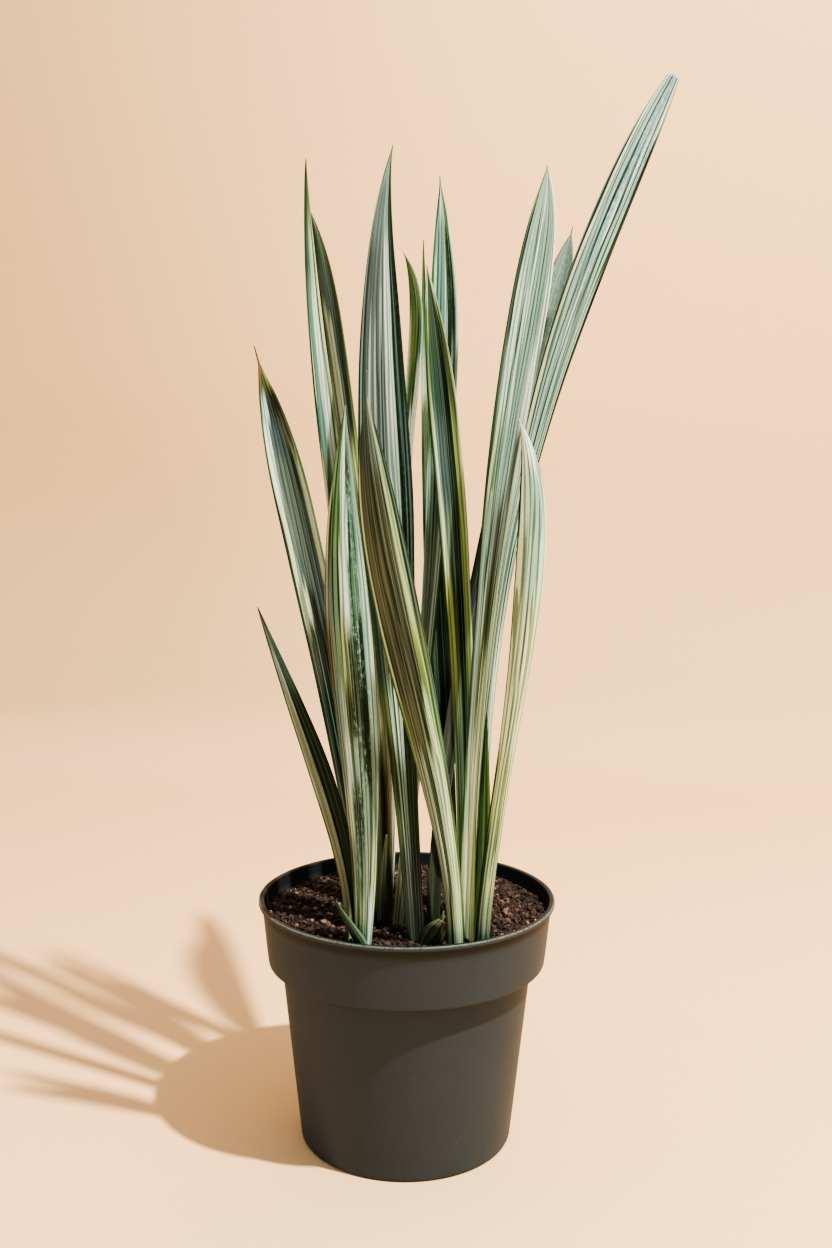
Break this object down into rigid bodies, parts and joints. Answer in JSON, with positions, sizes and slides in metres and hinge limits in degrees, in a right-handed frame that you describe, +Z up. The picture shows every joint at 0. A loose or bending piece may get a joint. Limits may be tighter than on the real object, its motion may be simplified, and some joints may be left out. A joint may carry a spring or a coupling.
{
  "type": "variegated snake plant in a nursery pot",
  "caption": "Tuft of tall narrow striped snake plant leaves, channelled and pointed, growing from dark crumbly soil in a round tapered plastic nursery pot with a deep collar.",
  "frame": {"origin": "centre of the pot's underside, on the surface it stands on", "axes": "+Z up along the pot's axis, -Y towards the front, where the leaves crowd the rim"},
  "size_m": [0.2869, 0.2568, 0.744],
  "materials": {
    "pot": "matt, lightly scuffed",
    "soil": "dry crumbly ground",
    "leaf_tall_left": "waxy leaf skin",
    "leaf_olive_left": "waxy leaf skin",
    "leaf_front_left": "waxy leaf skin",
    "leaf_centre_tall": "waxy leaf skin",
    "leaf_khaki_front": "waxy leaf skin",
    "leaf_brown_tip": "waxy leaf skin",
    "leaf_short_left": "waxy leaf skin",
    "leaf_young_shoot": "waxy leaf skin",
    "leaf_olive_centre": "waxy leaf skin",
    "leaf_dark_spike": "waxy leaf skin",
    "leaf_green_centre": "waxy leaf skin",
    "leaf_back_centre": "waxy leaf skin",
    "leaf_tall_right": "waxy leaf skin",
    "leaf_grey_back": "waxy leaf skin",
    "leaf_long_right": "waxy leaf skin",
    "leaf_front_right": "waxy leaf skin",
    "leaf_olive_right": "waxy leaf skin",
    "dry_sheath_front": "dry and papery",
    "dry_sheath_left": "dry and papery",
    "dry_strand": "dry and papery"
  },
  "bodies": {
    "root": {"pot": "pot", "soil": "soil", "leaf_tall_left": "leaf_tall_left", "leaf_olive_left": "leaf_olive_left", "leaf_front_left": "leaf_front_left", "leaf_centre_tall": "leaf_centre_tall", "leaf_khaki_front": "leaf_khaki_front", "leaf_brown_tip": "leaf_brown_tip", "leaf_short_left": "leaf_short_left", "leaf_young_shoot": "leaf_young_shoot", "leaf_olive_centre": "leaf_olive_centre", "leaf_dark_spike": "leaf_dark_spike", "leaf_green_centre": "leaf_green_centre", "leaf_back_centre": "leaf_back_centre", "leaf_tall_right": "leaf_tall_right", "leaf_grey_back": "leaf_grey_back", "leaf_long_right": "leaf_long_right", "leaf_front_right": "leaf_front_right", "leaf_olive_right": "leaf_olive_right", "dry_sheath_front": "dry_sheath_front", "dry_sheath_left": "dry_sheath_left", "dry_strand": "dry_strand"}
  },
  "joints": []
}
